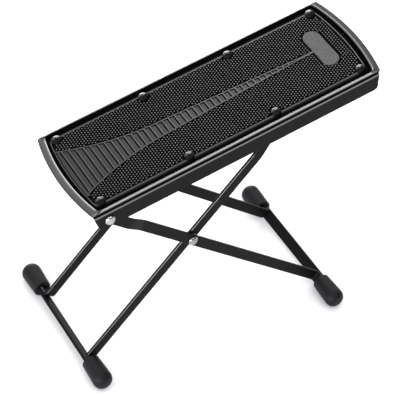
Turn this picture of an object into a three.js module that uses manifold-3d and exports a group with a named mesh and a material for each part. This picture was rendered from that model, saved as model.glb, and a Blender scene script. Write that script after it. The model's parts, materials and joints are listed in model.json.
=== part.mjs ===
// Folding footrest: a pressed steel deck with a rubber tread mat, carried on two crossed leg frames.
// Millimetres, +Z up. The origin is on the floor, under the middle of the footrest's outer box.
import * as THREE from 'three';
import { mergeVertices } from 'three/addons/utils/BufferGeometryUtils.js';
import Module from 'manifold-3d';

const wasm = await Module();
wasm.setup();

// Linkage, along each leg and along the deck.
const PIVOT_TO_CROSS = 101.5;
const CROSS_TO_FOOT_A = 168;
const CROSS_TO_FOOT_B = 137;
const CROSS_TO_ROD = 128;
const PIVOT_INSET = 11.4;
const PIVOT_DROP = 11.4;

// Height notches along the deck, counted from its pivot. At rest the rod stands at the second.
const NOTCH_COUNT = 6;
const NOTCH_PITCH = 12;
const FIRST_NOTCH = 154.2;
const REST_NOTCH = 1;
const NOTCH_DEPTH = 3.2;

// Deck tray: sheet with bowed ends, a raised rim about a shallow recess, and two long flanges.
const DECK_LENGTH = 255;
const DECK_WIDTH = 96;
const END_RISE = 7.2;
const SHEET = 1.5;
const RIM_LIFT = 1.6;
const RIM_TOP = 0.7;
const END_BAND = 4.8;
const RECESS_DEPTH = 2.4;
const RECESS_WALL_RUN = 1;
const RECESS_CORNER = 4.5;
const DECK_CORNER = 1.6;
const EDGE_BREAK = 0.3;
const FLANGE_DEPTH = 19.1;
const FLANGE_TAPER = 1.4;
const FLANGE_CORNER = 5;

// Rubber mat with a raised border and a tapering ladder of shallow windows.
const MAT_END_INSET = 5.8;
const MAT_END_RISE = 1.7;
const MAT_BASE = 2;
const MAT_RELIEF = 0.5;
const MAT_CORNER = 4.2;
const MAT_SKIRT = 1.6;
const BORDER_WIDTH = 0.9;
const BORDER_SLOPE = 0.3;
const TREAD_START = 8.6;
const TREAD_FLARE = 71.4;
const TREAD_TAIL = 10;
const TREAD_PITCH = 5.35;
const TREAD_START_HALF = 24.5;
const TREAD_WAIST_HALF = 7;
const RUNG_WIDTH = 1.4;
const RAIL_WIDTH = 0.9;

// Plain capsule plate let into the mat near the high end.
const BADGE_LENGTH = 42.5;
const BADGE_WIDTH = 14.2;
const BADGE_THICKNESS = 1.2;
const BADGE_BEVEL = 0.3;
const BADGE_INSET = 23.9;
const BADGE_POCKET = 0.8;

// Dome rivets that hold the mat on the tray.
const RIVET_COLUMNS = 4;
const RIVET_END_INSET = 10.8;
const RIVET_SIDE_INSET = 10.35;
const RIVET_HEAD = 4.25;
const RIVET_HEAD_HEIGHT = 2.3;
const RIVET_SHANK = 1.5;
const RIVET_TAIL = 2.5;
const RIVET_TAIL_HEIGHT = 0.9;

// Flat steel bar of the leg frames, joggled near its top and bent outwards at its foot.
const BAR_WIDTH = 9.5;
const BAR_THICK = 2.5;
const JOGGLE_START = 26;
const JOGGLE_RUN = 15;
const JOGGLE_A = 3.15;
const JOGGLE_B = 2.5;
const JOGGLE_BEND = 12;
const FOOT_BEND = 2.2;
const TAB_REACH = 21;

// Pivot rivets, spacer washers and the cross rod.
const PIVOT_SHANK = 2.5;
const PIVOT_TAIL = 3.8;
const PIVOT_TAIL_HEIGHT = 1.4;
const DECK_PIVOT_HEAD = 4.5;
const DECK_PIVOT_HEAD_HEIGHT = 2.4;
const SCISSOR_HEAD = 4.25;
const SCISSOR_HEAD_HEIGHT = 2.1;
const WASHER_RADIUS = 4.9;
const WASHER_THICK = 0.75;
const ROD_RADIUS = 3;
const ROD_NECK = 2.2;
const ROD_HEAD = 3.5;
const ROD_HEAD_HEIGHT = 1.2;

// Notched racks: angle strips fixed under the tray.
const RACK_THICK = 1.5;
const RACK_WEB = 1.1;
const RACK_FOOT = 11;
const RACK_SIDE_GAP = 2.7;
const RACK_END = 7;
const RACK_END_ROUND = 2;

// Rubber end caps; on frame B they are pushed on unevenly.
const CAP_LENGTH = 29.3;
const CAP_INNER_RADIUS = 7.6;
const CAP_OUTER_RADIUS = 8.1;
const CAP_END_ROUND = 3.6;
const CAP_RIM = 0.8;
const CAP_END_WALL = 4;
const CAP_FLAT = 0.3;
const CAP_STAND_OFF_A = { front: 6.2, rear: 6.2 };
const CAP_STAND_OFF_B = { front: 2.6, rear: 9.1 };

// Clearances of seats and running fits, and the overrun of cutting bodies.
const SEAT_GAP = 0.3;
const RUNNING_GAP = 0.3;
const OVERRUN = 5;

const ROUND_STEPS = 16;
const CAP_STEPS = 24;
const BOW_STEPS = 12;
const CORNER_STEPS = 4;
const BEND_STEPS = 5;

// Linkage at rest, in the deck's frame about its pivot, and the tilt that puts both feet on the floor.
const trayFloor = RIM_LIFT - RECESS_DEPTH;
const trayUnderside = trayFloor - SHEET;
const rackTop = trayUnderside - SEAT_GAP;
const notchRoof = rackTop - RACK_THICK - RACK_WEB;
const toothTips = notchRoof - NOTCH_DEPTH;
const notchRadius = ROD_RADIUS + RUNNING_GAP;
const rodLevel = toothTips - notchRadius;
const pivotToRod = new THREE.Vector2(FIRST_NOTCH + REST_NOTCH * NOTCH_PITCH, rodLevel + PIVOT_DROP);
const rodDistance = pivotToRod.length();
const legAFromRod = Math.acos((PIVOT_TO_CROSS ** 2 + rodDistance ** 2 - CROSS_TO_ROD ** 2)
  / (2 * PIVOT_TO_CROSS * rodDistance));
const pivotToCross = pivotToRod.clone()
  .rotateAround(new THREE.Vector2(), -legAFromRod)
  .setLength(PIVOT_TO_CROSS);
const crossToFootA = pivotToCross.clone().setLength(CROSS_TO_FOOT_A);
const crossToFootB = pivotToCross.clone().sub(pivotToRod).setLength(CROSS_TO_FOOT_B);
const deckTilt = -crossToFootA.clone().sub(crossToFootB).angle();
const rodToCross = pivotToCross.clone().sub(pivotToRod);
const legAAngle = -(pivotToCross.angle() + deckTilt);
const legBAngle = -(rodToCross.angle() + deckTilt);

// Places across the footrest, from the flange inwards.
const halfWidth = DECK_WIDTH / 2;
const flangeInside = halfWidth - SHEET;
const legATopOuter = flangeInside - SEAT_GAP;
const legAOuter = legATopOuter - JOGGLE_A;
const legAInner = legAOuter - BAR_THICK;
const legBOuter = legAInner - WASHER_THICK - 2 * SEAT_GAP;
const legBInner = legBOuter - BAR_THICK;
const legBTopOuter = legBOuter - JOGGLE_B;
const legBTopInner = legBTopOuter - BAR_THICK;
const rackOuter = legBTopInner - RACK_SIDE_GAP;

const matBottom = trayFloor + SEAT_GAP;
const matField = matBottom + MAT_BASE;
const matTop = matField + MAT_RELIEF;

// Finishes
const blackPaint = { color: 0x16171a, roughness: 0.32, metalness: 0.4 };
const blackRubber = { color: 0x1d1e20, roughness: 0.75, metalness: 0 };
const capRubber = { color: 0x242528, roughness: 0.62, metalness: 0 };
const greyPlate = { color: 0x6d6e71, roughness: 0.5, metalness: 0.1 };
const bareSteel = { color: 0xb9bbbf, roughness: 0.3, metalness: 1 };
const blackSteel = { color: 0x101113, roughness: 0.22, metalness: 0.6 };

// A closed geometry as a solid that can be joined and cut.
function solidOf(geometry) {
  const bare = geometry.clone();
  bare.deleteAttribute('normal');
  bare.deleteAttribute('uv');
  const merged = mergeVertices(bare, 1e-4);
  const vertProperties = new Float32Array(merged.attributes.position.array);
  const triVerts = new Uint32Array(merged.index.array);
  return new wasm.Manifold(new wasm.Mesh({ numProp: 3, vertProperties, triVerts }));
}

// A solid as a named mesh with its own material.
function meshOf(name, solid, finish) {
  const { vertProperties, triVerts } = solid.getMesh();
  const geometry = new THREE.BufferGeometry();
  geometry.setAttribute('position', new THREE.BufferAttribute(new Float32Array(vertProperties), 3));
  geometry.setIndex(new THREE.BufferAttribute(new Uint32Array(triVerts), 1));
  geometry.computeVertexNormals();
  const mesh = new THREE.Mesh(geometry, new THREE.MeshStandardMaterial(finish));
  mesh.name = name;
  return mesh;
}

function extruded(points, depth) {
  const shape = new THREE.Shape(points.map(([x, y]) => new THREE.Vector2(x, y)));
  return new THREE.ExtrudeGeometry(shape, { depth, bevelEnabled: false });
}

// A plan outline (x, y) raised between two levels.
function raised(points, low, high) {
  return solidOf(extruded(points, high - low).translate(0, 0, low));
}

// A side outline (x, z) carried across between two values of y.
function carriedAcross(points, low, high) {
  return solidOf(extruded(points, high - low).rotateX(Math.PI / 2).translate(0, high, 0));
}

// A turned body about the Y axis, from a profile of [radius, y] that starts and ends on the axis.
function turned(profile, steps) {
  return solidOf(new THREE.LatheGeometry(profile.map(([radius, y]) => new THREE.Vector2(radius, y)), steps));
}

function pinAcross(radius, low, high, steps) {
  return turned([[0, low], [radius, low], [radius, high], [0, high]], steps);
}

function pinUpright(radius, low, high, steps) {
  return pinAcross(radius, low, high, steps).rotate([90, 0, 0]);
}

// Rings of equal point counts, [points, z] from the floor of the body round to its top, closed at both ends.
function lofted(rings) {
  const count = rings[0][0].length;
  const positions = rings.flatMap(([points, z]) => points.flatMap(([x, y]) => [x, y, z]));
  const index = [];
  for (let ring = 0; ring + 1 < rings.length; ring += 1) {
    for (let i = 0; i < count; i += 1) {
      const a = ring * count + i;
      const b = ring * count + (i + 1) % count;
      index.push(a, b, b + count, a, b + count, a + count);
    }
  }
  const flat = (points) => points.map(([x, y]) => new THREE.Vector2(x, y));
  const closing = ([points]) => THREE.ShapeUtils.triangulateShape(flat(points), []);
  const top = (rings.length - 1) * count;
  for (const [a, b, c] of closing(rings[0])) index.push(a, c, b);
  for (const [a, b, c] of closing(rings[rings.length - 1])) index.push(top + a, top + b, top + c);
  const geometry = new THREE.BufferGeometry();
  geometry.setAttribute('position', new THREE.Float32BufferAttribute(positions, 3));
  geometry.setIndex(index);
  return solidOf(geometry);
}

// An outline with straight long sides and bowed ends, drawn in by separate insets, with rounded corners.
function bowedOutline({ start, end, half, rise, corner }, sideInset, endInset) {
  const bow = (half ** 2 + rise ** 2) / (2 * rise);
  const radius = bow - endInset;
  const side = half - sideInset;
  const reach = Math.asin(side / radius);
  const turn = reach - corner / radius;
  const bowAt = (x, facing) => {
    const at = (angle) => new THREE.Vector2(radius, 0)
      .rotateAround(new THREE.Vector2(), facing + angle)
      .add(new THREE.Vector2(x, 0));
    const along = new THREE.Vector2(-Math.cos(facing) * corner, 0);
    const lead = new THREE.QuadraticBezierCurve(at(-reach).add(along), at(-reach), at(-turn));
    const trail = new THREE.QuadraticBezierCurve(at(turn), at(reach), at(reach).add(along));
    const arc = Array.from({ length: BOW_STEPS - 1 }, (_, i) => at(turn * (2 * (i + 1) / BOW_STEPS - 1)));
    return [...lead.getPoints(CORNER_STEPS), ...arc, ...trail.getPoints(CORNER_STEPS)];
  };
  return [...bowAt(end + rise - bow, 0), ...bowAt(start - rise + bow, Math.PI)].map(({ x, y }) => [x, y]);
}

// A polyline with each inner corner replaced by an arc.
function bentPath(corners, radius) {
  const points = [corners[0]];
  for (let i = 1; i + 1 < corners.length; i += 1) {
    const corner = corners[i];
    const back = corners[i - 1].clone().sub(corner).normalize();
    const on = corners[i + 1].clone().sub(corner).normalize();
    const half = back.angleTo(on) / 2;
    const middle = back.clone().add(on).setLength(radius / Math.sin(half)).add(corner);
    const from = corner.clone().addScaledVector(back, radius / Math.tan(half));
    const turn = -Math.sign(back.cross(on)) * (Math.PI - 2 * half);
    for (let step = 0; step <= BEND_STEPS; step += 1) {
      points.push(from.clone().rotateAround(middle, turn * step / BEND_STEPS));
    }
  }
  return [...points, corners[corners.length - 1]];
}

// A flat bar of even thickness that follows a path in plan, on edge about z = 0.
function bentBar(path) {
  const offset = path.map((point, i) => {
    const before = path[Math.max(i - 1, 0)];
    const after = path[Math.min(i + 1, path.length - 1)];
    const along = after.clone().sub(before).normalize();
    return new THREE.Vector2(-along.y, along.x).multiplyScalar(BAR_THICK / 2);
  });
  const left = path.map((point, i) => point.clone().add(offset[i]));
  const right = path.map((point, i) => point.clone().sub(offset[i])).reverse();
  return raised([...left, ...right].map(({ x, y }) => [x, y]), -BAR_WIDTH / 2, BAR_WIDTH / 2);
}

// Points of an arc in equal steps.
function arc(x, y, radius, from, to, steps) {
  return Array.from({ length: steps + 1 }, (_, i) => {
    const angle = from + (to - from) * i / steps;
    return [x + radius * Math.cos(angle), y + radius * Math.sin(angle)];
  });
}

// Deck tray
const rivetPlaces = Array.from({ length: RIVET_COLUMNS }, (_, i) =>
  RIVET_END_INSET + (DECK_LENGTH - 2 * RIVET_END_INSET) * i / (RIVET_COLUMNS - 1));
const rivetRow = halfWidth - RIVET_SIDE_INSET;

// A body with a round hole at each mat rivet, from a level upwards.
function withRivetHoles(body, radius, low) {
  const hole = pinUpright(radius, low, matTop + OVERRUN, ROUND_STEPS);
  const holes = rivetPlaces.flatMap((x) => [-rivetRow, rivetRow].map((y) => hole.translate([x, y, 0])));
  return holes.reduce((rest, next) => rest.subtract(next), body);
}

function flange(low, high) {
  const corner = DECK_CORNER + FLANGE_TAPER;
  const curve = new THREE.QuadraticBezierCurve(
    new THREE.Vector2(corner, FLANGE_CORNER - FLANGE_DEPTH),
    new THREE.Vector2(corner, -FLANGE_DEPTH),
    new THREE.Vector2(corner + FLANGE_CORNER, -FLANGE_DEPTH));
  const left = [[DECK_CORNER, -SHEET], ...curve.getPoints(CORNER_STEPS).map(({ x, y }) => [x, y])];
  const right = left.map(([x, z]) => [DECK_LENGTH - x, z]).reverse();
  return carriedAcross([...left, ...right], low, high);
}

function deckTray() {
  const edge = { start: 0, end: DECK_LENGTH, half: halfWidth, rise: END_RISE, corner: DECK_CORNER };
  const inner = { ...edge, corner: RECESS_CORNER };
  const sideBend = SHEET + RIM_LIFT;
  const edgeAngle = Math.asin(SHEET / sideBend);
  const bend = Array.from({ length: BEND_STEPS }, (_, i) => {
    const angle = edgeAngle + (Math.PI / 2 - edgeAngle) * i / (BEND_STEPS - 1);
    const z = sideBend * Math.sin(angle) - SHEET;
    const plan = i === 0 ? edge : inner;
    return [bowedOutline(plan, sideBend * (1 - Math.cos(angle)), END_BAND * z / RIM_LIFT), z];
  });
  const under = RIM_LIFT - SHEET;
  const sideWall = sideBend + RIM_TOP;
  const endWall = END_BAND + RIM_TOP;
  const panWall = RECESS_WALL_RUN - SHEET;
  const skin = lofted([
    [bowedOutline(inner, sideWall + panWall, endWall + panWall), trayUnderside],
    [bowedOutline(inner, sideWall - SHEET, endWall - SHEET + EDGE_BREAK), under],
    [bowedOutline(inner, SHEET, endWall - SHEET), under],
    [bowedOutline(edge, SHEET, EDGE_BREAK), -SHEET],
    [bowedOutline(edge, 0, 0), -SHEET],
    ...bend,
    [bowedOutline(inner, sideWall, endWall), RIM_LIFT],
    [bowedOutline(inner, sideWall + RECESS_WALL_RUN, endWall + RECESS_WALL_RUN), trayFloor],
  ]);
  const tray = skin.add(flange(flangeInside, halfWidth)).add(flange(-halfWidth, -flangeInside));
  const reach = halfWidth + OVERRUN;
  const pivotHole = pinAcross(PIVOT_SHANK + RUNNING_GAP, -reach, reach, ROUND_STEPS);
  return withRivetHoles(tray, RIVET_SHANK + RUNNING_GAP, trayUnderside - OVERRUN)
    .subtract(pivotHole.translate([PIVOT_INSET, 0, -PIVOT_DROP]));
}

// Tread mat: half width of its ladder's windows along the deck, a straight taper with a flared start.
const badgeCentre = DECK_LENGTH - BADGE_INSET;
const treadEnd = badgeCentre - BADGE_WIDTH / 2 - TREAD_TAIL;

function windowHalf(x) {
  const flareEnd = TREAD_START + TREAD_FLARE;
  const taper = TREAD_WAIST_HALF / (treadEnd - flareEnd);
  const flare = Math.max(flareEnd - x, 0) / TREAD_FLARE;
  const flareHalf = TREAD_START_HALF - (treadEnd - TREAD_START) * taper;
  return Math.max(treadEnd - x, 0) * taper + flareHalf * flare ** 2;
}

function treadLadder() {
  const count = Math.floor((treadEnd - TREAD_START) / TREAD_PITCH);
  const stations = Array.from({ length: count }, (_, i) => TREAD_START + i * TREAD_PITCH);
  const lineEnd = badgeCentre - BADGE_WIDTH / 2 - 2 * SEAT_GAP;
  const edge = [...stations, treadEnd, lineEnd].map((x) => [x, windowHalf(x) + RAIL_WIDTH]);
  const plateau = [...edge.map(([x, y]) => [x, -y]), ...edge.reverse()];
  let ladder = raised(plateau, matBottom + MAT_BASE / 2, matTop);
  for (const station of stations) {
    const from = station + RUNG_WIDTH / 2;
    const to = from + TREAD_PITCH - RUNG_WIDTH;
    if (windowHalf(to) > RAIL_WIDTH / 2) {
      const near = [[from, -windowHalf(from)], [to, -windowHalf(to)]];
      const far = near.map(([x, y]) => [x, -y]).reverse();
      ladder = ladder.subtract(raised([...near, ...far], matField, matTop + OVERRUN));
    }
  }
  return ladder;
}

function treadMat() {
  const plan = {
    start: MAT_END_INSET,
    end: DECK_LENGTH - MAT_END_INSET,
    half: halfWidth - SHEET - RIM_LIFT - RIM_TOP - RECESS_WALL_RUN - SEAT_GAP,
    rise: MAT_END_RISE,
    corner: MAT_CORNER,
  };
  const ring = (inset, z) => [bowedOutline(plan, inset, inset), z];
  const slab = lofted([ring(0, matBottom), ring(0, matField)]);
  const border = lofted([
    ring(MAT_SKIRT, matBottom + MAT_BASE / 2),
    ring(MAT_SKIRT, matTop),
  ]).subtract(lofted([
    ring(MAT_SKIRT + BORDER_WIDTH + BORDER_SLOPE, matField),
    ring(MAT_SKIRT + BORDER_WIDTH, matTop),
    ring(MAT_SKIRT + BORDER_WIDTH - EDGE_BREAK, matTop + OVERRUN),
  ]));
  const relief = withRivetHoles(border.add(treadLadder()), RIVET_HEAD + RUNNING_GAP, matField);
  const pocket = raised(capsule(SEAT_GAP), matField - BADGE_POCKET, matTop + OVERRUN);
  return withRivetHoles(slab.add(relief), RIVET_SHANK + RUNNING_GAP, matBottom - OVERRUN).subtract(pocket);
}

// Capsule outline lying across the deck, grown by a margin.
function capsule(margin) {
  const straight = (BADGE_LENGTH - BADGE_WIDTH) / 2;
  const radius = BADGE_WIDTH / 2 + margin;
  return [
    ...arc(badgeCentre, straight, radius, 0, Math.PI, ROUND_STEPS / 2),
    ...arc(badgeCentre, -straight, radius, Math.PI, 2 * Math.PI, ROUND_STEPS / 2),
  ];
}

function badgePlate() {
  const low = matField - BADGE_POCKET + SEAT_GAP;
  const high = low + BADGE_THICKNESS;
  return lofted([[capsule(0), low], [capsule(0), high - BADGE_BEVEL], [capsule(-BADGE_BEVEL), high]]);
}

// A rivet about the Y axis: its tail end first, then the shank, then a dome head above its seat.
function rivet({ tail, tailHeight, tailFace, shank, seat, head, headHeight }) {
  const quarter = arc(0, 0, 1, 0, Math.PI / 2, CORNER_STEPS + 1);
  const dome = quarter.slice(0, -1).map(([x, y]) => [x * head, seat + y * headHeight]);
  const low = tailFace - tailHeight;
  const stem = [[0, low], [tail, low], [tail, tailFace], [shank, tailFace], [shank, seat]];
  return turned([...stem, ...dome, [0, seat + headHeight]], ROUND_STEPS);
}

function matRivet() {
  return rivet({
    tail: RIVET_TAIL,
    tailHeight: RIVET_TAIL_HEIGHT,
    tailFace: trayUnderside - SEAT_GAP,
    shank: RIVET_SHANK,
    seat: matField + SEAT_GAP,
    head: RIVET_HEAD,
    headHeight: RIVET_HEAD_HEIGHT,
  }).rotate([90, 0, 0]);
}

function deckPivotRivet() {
  return rivet({
    tail: PIVOT_TAIL,
    tailHeight: PIVOT_TAIL_HEIGHT,
    tailFace: legATopOuter - BAR_THICK - SEAT_GAP,
    shank: PIVOT_SHANK,
    seat: halfWidth + SEAT_GAP,
    head: DECK_PIVOT_HEAD,
    headHeight: DECK_PIVOT_HEAD_HEIGHT,
  });
}

function scissorRivet() {
  return rivet({
    tail: PIVOT_TAIL,
    tailHeight: PIVOT_TAIL_HEIGHT,
    tailFace: legBInner - SEAT_GAP,
    shank: PIVOT_SHANK,
    seat: legAOuter + SEAT_GAP,
    head: SCISSOR_HEAD,
    headHeight: SCISSOR_HEAD_HEIGHT,
  });
}

// Notched rack: a foot flat under the tray, and a vertical strip whose notches open downwards.
function notchRack() {
  const places = Array.from({ length: NOTCH_COUNT }, (_, i) => PIVOT_INSET + FIRST_NOTCH + i * NOTCH_PITCH);
  const start = places[0] - RACK_END;
  const end = places[NOTCH_COUNT - 1] + RACK_END;
  const strip = carriedAcross([
    [start, rackTop], [start, toothTips + RACK_END_ROUND], [start + RACK_END_ROUND, toothTips],
    [end - RACK_END_ROUND, toothTips], [end, toothTips + RACK_END_ROUND], [end, rackTop],
  ], rackOuter - RACK_THICK, rackOuter);
  const foot = raised([
    [start, rackOuter - RACK_FOOT], [end, rackOuter - RACK_FOOT], [end, rackOuter], [start, rackOuter],
  ], rackTop - RACK_THICK, rackTop);
  const notch = pinAcross(notchRadius, 0, halfWidth, ROUND_STEPS);
  return places.reduce(
    (rack, x) => rack.subtract(notch.translate([x, 0, notchRoof - notchRadius])), strip.add(foot));
}

// Leg: a flat bar from its top pivot to its foot, on the side of positive y.
function leg({ length, topOuter, outer, capInner, topHole }) {
  const topPath = topOuter - BAR_THICK / 2;
  const path = outer - BAR_THICK / 2;
  const tab = length - (BAR_THICK + SEAT_GAP) / 2;
  const joggleEnd = JOGGLE_START + JOGGLE_RUN;
  const points = (corners) => corners.map(([x, y]) => new THREE.Vector2(x, y));
  const joggled = bentPath(
    points([[-BAR_WIDTH, topPath], [JOGGLE_START, topPath], [joggleEnd, path], [tab, path]]),
    JOGGLE_BEND);
  const foot = bentPath(
    points([[joggleEnd, path], [tab, path], [tab, capInner + TAB_REACH]]),
    FOOT_BEND + BAR_THICK / 2);
  const bar = bentBar([...joggled.slice(0, -1), ...foot.slice(1)]);
  const side = [[length, -BAR_WIDTH / 2], [length, BAR_WIDTH / 2],
    ...arc(0, 0, BAR_WIDTH / 2, Math.PI / 2, 3 * Math.PI / 2, ROUND_STEPS / 2)];
  return bar
    .intersect(carriedAcross(side, 0, capInner + TAB_REACH + OVERRUN))
    .subtract(pinAcross(topHole, 0, halfWidth, ROUND_STEPS));
}

// Crossbar: a straight flat bar below the bent feet, from cap to cap.
function crossbar(length, capInner) {
  const near = length + SEAT_GAP / 2;
  const reach = (name) => capInner[name] + TAB_REACH;
  const outline = [
    [near, -reach('front')], [near + BAR_THICK, -reach('front')],
    [near + BAR_THICK, reach('rear')], [near, reach('rear')],
  ];
  return raised(outline, -BAR_WIDTH / 2, BAR_WIDTH / 2);
}

// Foot cap about the Y axis, its inner end at y = 0, slotted for the bent foot and the crossbar.
function footCap(slotAngle) {
  const barrel = CAP_LENGTH - CAP_END_ROUND;
  const body = turned([
    [0, 0], [CAP_INNER_RADIUS - CAP_RIM, 0], [CAP_INNER_RADIUS, CAP_RIM],
    ...arc(CAP_OUTER_RADIUS - CAP_END_ROUND, barrel, CAP_END_ROUND, 0, Math.PI / 2, CORNER_STEPS),
    [0, CAP_LENGTH],
  ], CAP_STEPS);
  const halfStack = BAR_THICK + SEAT_GAP / 2 + SEAT_GAP;
  const halfTall = BAR_WIDTH / 2 + SEAT_GAP;
  const slot = raised([
    [-halfStack, -OVERRUN], [halfStack, -OVERRUN],
    [halfStack, CAP_LENGTH - CAP_END_WALL], [-halfStack, CAP_LENGTH - CAP_END_WALL],
  ], -halfTall, halfTall).rotate([0, THREE.MathUtils.radToDeg(slotAngle), 0]);
  const wide = CAP_OUTER_RADIUS + OVERRUN;
  const far = CAP_LENGTH + OVERRUN;
  const ground = raised([[-wide, -OVERRUN], [wide, -OVERRUN], [wide, far], [-wide, far]],
    -wide, CAP_FLAT - CAP_OUTER_RADIUS);
  return body.subtract(slot).subtract(ground);
}

function scissorWasher() {
  const outer = legAInner - SEAT_GAP;
  return pinAcross(WASHER_RADIUS, outer - WASHER_THICK, outer, ROUND_STEPS)
    .subtract(pinAcross(PIVOT_SHANK + RUNNING_GAP, 0, halfWidth, ROUND_STEPS));
}

// Cross rod between the tops of legs B, shouldered and riveted over at both ends.
function notchRod() {
  const shoulder = legBTopInner - SEAT_GAP;
  const seat = legBTopOuter + SEAT_GAP;
  const end = seat + ROD_HEAD_HEIGHT;
  const half = [
    [ROD_RADIUS, shoulder], [ROD_NECK, shoulder], [ROD_NECK, seat], [ROD_HEAD, seat], [ROD_HEAD, end], [0, end],
  ];
  const mirrored = half.map(([radius, y]) => [radius, -y]).reverse();
  return turned([...mirrored, ...half], ROUND_STEPS);
}

// Mirror image of a solid across the middle plane, for the front side.
const sides = [
  { name: 'front', place: (solid) => solid.mirror([0, 1, 0]) },
  { name: 'rear', place: (solid) => solid },
];

// A leg frame hangs from its top pivot, its x axis down the leg.
function legFrame({ key, angle, length, crossPlace, topOuter, outer, topHole, standOff }) {
  const frame = new THREE.Group();
  frame.rotation.y = angle;
  const capInner = { front: outer + standOff.front, rear: outer + standOff.rear };
  const scissorHole = pinAcross(PIVOT_SHANK + RUNNING_GAP, 0, halfWidth, ROUND_STEPS)
    .translate([crossPlace, 0, 0]);
  frame.add(meshOf(`crossbar_${key}`, crossbar(length, capInner), blackPaint));
  for (const { name, place } of sides) {
    const bar = leg({ length, topOuter, outer, capInner: capInner[name], topHole }).subtract(scissorHole);
    frame.add(meshOf(`leg_${key}_${name}`, place(bar), blackPaint));
    const cap = footCap(angle).translate([0, capInner[name], 0]);
    const capMesh = meshOf(`foot_cap_${key}_${name}`, place(cap), capRubber);
    capMesh.position.x = length;
    capMesh.rotation.y = -angle;
    frame.add(capMesh);
  }
  return frame;
}

function deck() {
  const group = new THREE.Group();
  group.rotation.y = -deckTilt;
  const tray = new THREE.Group();
  tray.position.set(-PIVOT_INSET, 0, PIVOT_DROP);
  tray.add(meshOf('deck_tray', deckTray(), blackPaint));
  tray.add(meshOf('tread_mat', treadMat(), blackRubber));
  tray.add(meshOf('badge_plate', badgePlate(), greyPlate));
  for (const { name, place } of sides) {
    rivetPlaces.forEach((x, i) => {
      const solid = matRivet().translate([0, rivetRow, 0]);
      const mesh = meshOf(`mat_rivet_${name}_${i + 1}`, place(solid), blackSteel);
      mesh.position.x = x;
      tray.add(mesh);
    });
    tray.add(meshOf(`notch_rack_${name}`, place(notchRack()), blackPaint));
    group.add(meshOf(`deck_pivot_rivet_${name}`, place(deckPivotRivet()), bareSteel));
  }
  group.add(tray);
  return group;
}

// Assembly about the deck pivot, then set down with the origin under the middle of its box.
const assembly = new THREE.Group();
assembly.add(deck());

const frameA = legFrame({
  key: 'a',
  angle: legAAngle,
  length: PIVOT_TO_CROSS + CROSS_TO_FOOT_A,
  crossPlace: PIVOT_TO_CROSS,
  topOuter: legATopOuter,
  outer: legAOuter,
  topHole: PIVOT_SHANK + RUNNING_GAP,
  standOff: CAP_STAND_OFF_A,
});
for (const { name, place } of sides) {
  for (const [piece, solid] of [['scissor_rivet', scissorRivet()], ['scissor_washer', scissorWasher()]]) {
    const mesh = meshOf(`${piece}_${name}`, place(solid), bareSteel);
    mesh.position.x = PIVOT_TO_CROSS;
    frameA.add(mesh);
  }
}
assembly.add(frameA);

const frameB = legFrame({
  key: 'b',
  angle: legBAngle,
  length: CROSS_TO_ROD + CROSS_TO_FOOT_B,
  crossPlace: CROSS_TO_ROD,
  topOuter: legBTopOuter,
  outer: legBOuter,
  topHole: ROD_NECK + RUNNING_GAP,
  standOff: CAP_STAND_OFF_B,
});
frameB.add(meshOf('notch_rod', notchRod(), bareSteel));
const rodPlace = pivotToRod.clone().rotateAround(new THREE.Vector2(), deckTilt);
frameB.position.set(rodPlace.x, 0, rodPlace.y);
assembly.add(frameB);

assembly.updateMatrixWorld(true);
const box = new THREE.Box3().setFromObject(assembly, true);
const middle = box.getCenter(new THREE.Vector3());
assembly.position.set(-middle.x, -middle.y, -box.min.z);

const footrest = new THREE.Group();
footrest.add(assembly);

export default footrest;
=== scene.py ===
import json
import math
from functools import partialmethod

import bmesh
import bpy
from mathutils import Matrix, Vector


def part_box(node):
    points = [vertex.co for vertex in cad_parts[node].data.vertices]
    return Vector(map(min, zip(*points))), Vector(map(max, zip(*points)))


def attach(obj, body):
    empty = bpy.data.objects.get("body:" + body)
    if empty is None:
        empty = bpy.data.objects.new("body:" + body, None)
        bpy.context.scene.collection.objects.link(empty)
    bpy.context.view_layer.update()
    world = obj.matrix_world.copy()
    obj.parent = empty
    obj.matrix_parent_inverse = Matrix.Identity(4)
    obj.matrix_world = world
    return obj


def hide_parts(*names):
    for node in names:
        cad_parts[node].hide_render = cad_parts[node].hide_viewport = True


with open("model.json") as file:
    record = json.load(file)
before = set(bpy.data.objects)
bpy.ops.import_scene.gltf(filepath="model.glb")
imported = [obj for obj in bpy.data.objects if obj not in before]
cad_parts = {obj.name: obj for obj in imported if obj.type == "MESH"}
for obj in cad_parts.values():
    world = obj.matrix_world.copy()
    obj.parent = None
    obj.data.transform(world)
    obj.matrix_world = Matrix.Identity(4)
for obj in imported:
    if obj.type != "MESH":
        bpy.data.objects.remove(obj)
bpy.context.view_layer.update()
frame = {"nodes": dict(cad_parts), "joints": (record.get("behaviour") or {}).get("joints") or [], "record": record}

MM = 0.001

# The camera looks down on the footrest from its front left corner, with a long lens.
# It is rolled a little, as the photograph is.
AZIMUTH = math.radians(-33.21)
ELEVATION = math.radians(44.39)
ROLL = math.radians(5.26)
AIM = Vector((-0.46 * MM, 0, 105.98 * MM))
DISTANCE = 1463.02 * MM
SENSOR_WIDTH = 36
FOCAL_LENGTH = 159.48


def in_scene(name, data):
    """A new object, linked into the scene."""
    made = bpy.data.objects.new(name, data)
    bpy.context.scene.collection.objects.link(made)
    return made


back = Vector((
    math.sin(AZIMUTH) * math.cos(ELEVATION),
    -math.cos(AZIMUTH) * math.cos(ELEVATION),
    math.sin(ELEVATION),
))
level_right = (-back).cross(Vector((0, 0, 1))).normalized()
level_up = level_right.cross(-back)
right = level_right * math.cos(ROLL) + level_up * math.sin(ROLL)
up = level_up * math.cos(ROLL) - level_right * math.sin(ROLL)
camera = in_scene("camera", bpy.data.cameras.new("camera"))
camera.data.sensor_width = SENSOR_WIDTH
camera.data.lens = FOCAL_LENGTH
facing = Matrix((right, up, back)).transposed().to_4x4()
camera.matrix_world = Matrix.Translation(AIM + back * DISTANCE) @ facing
bpy.context.scene.camera = camera


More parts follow.
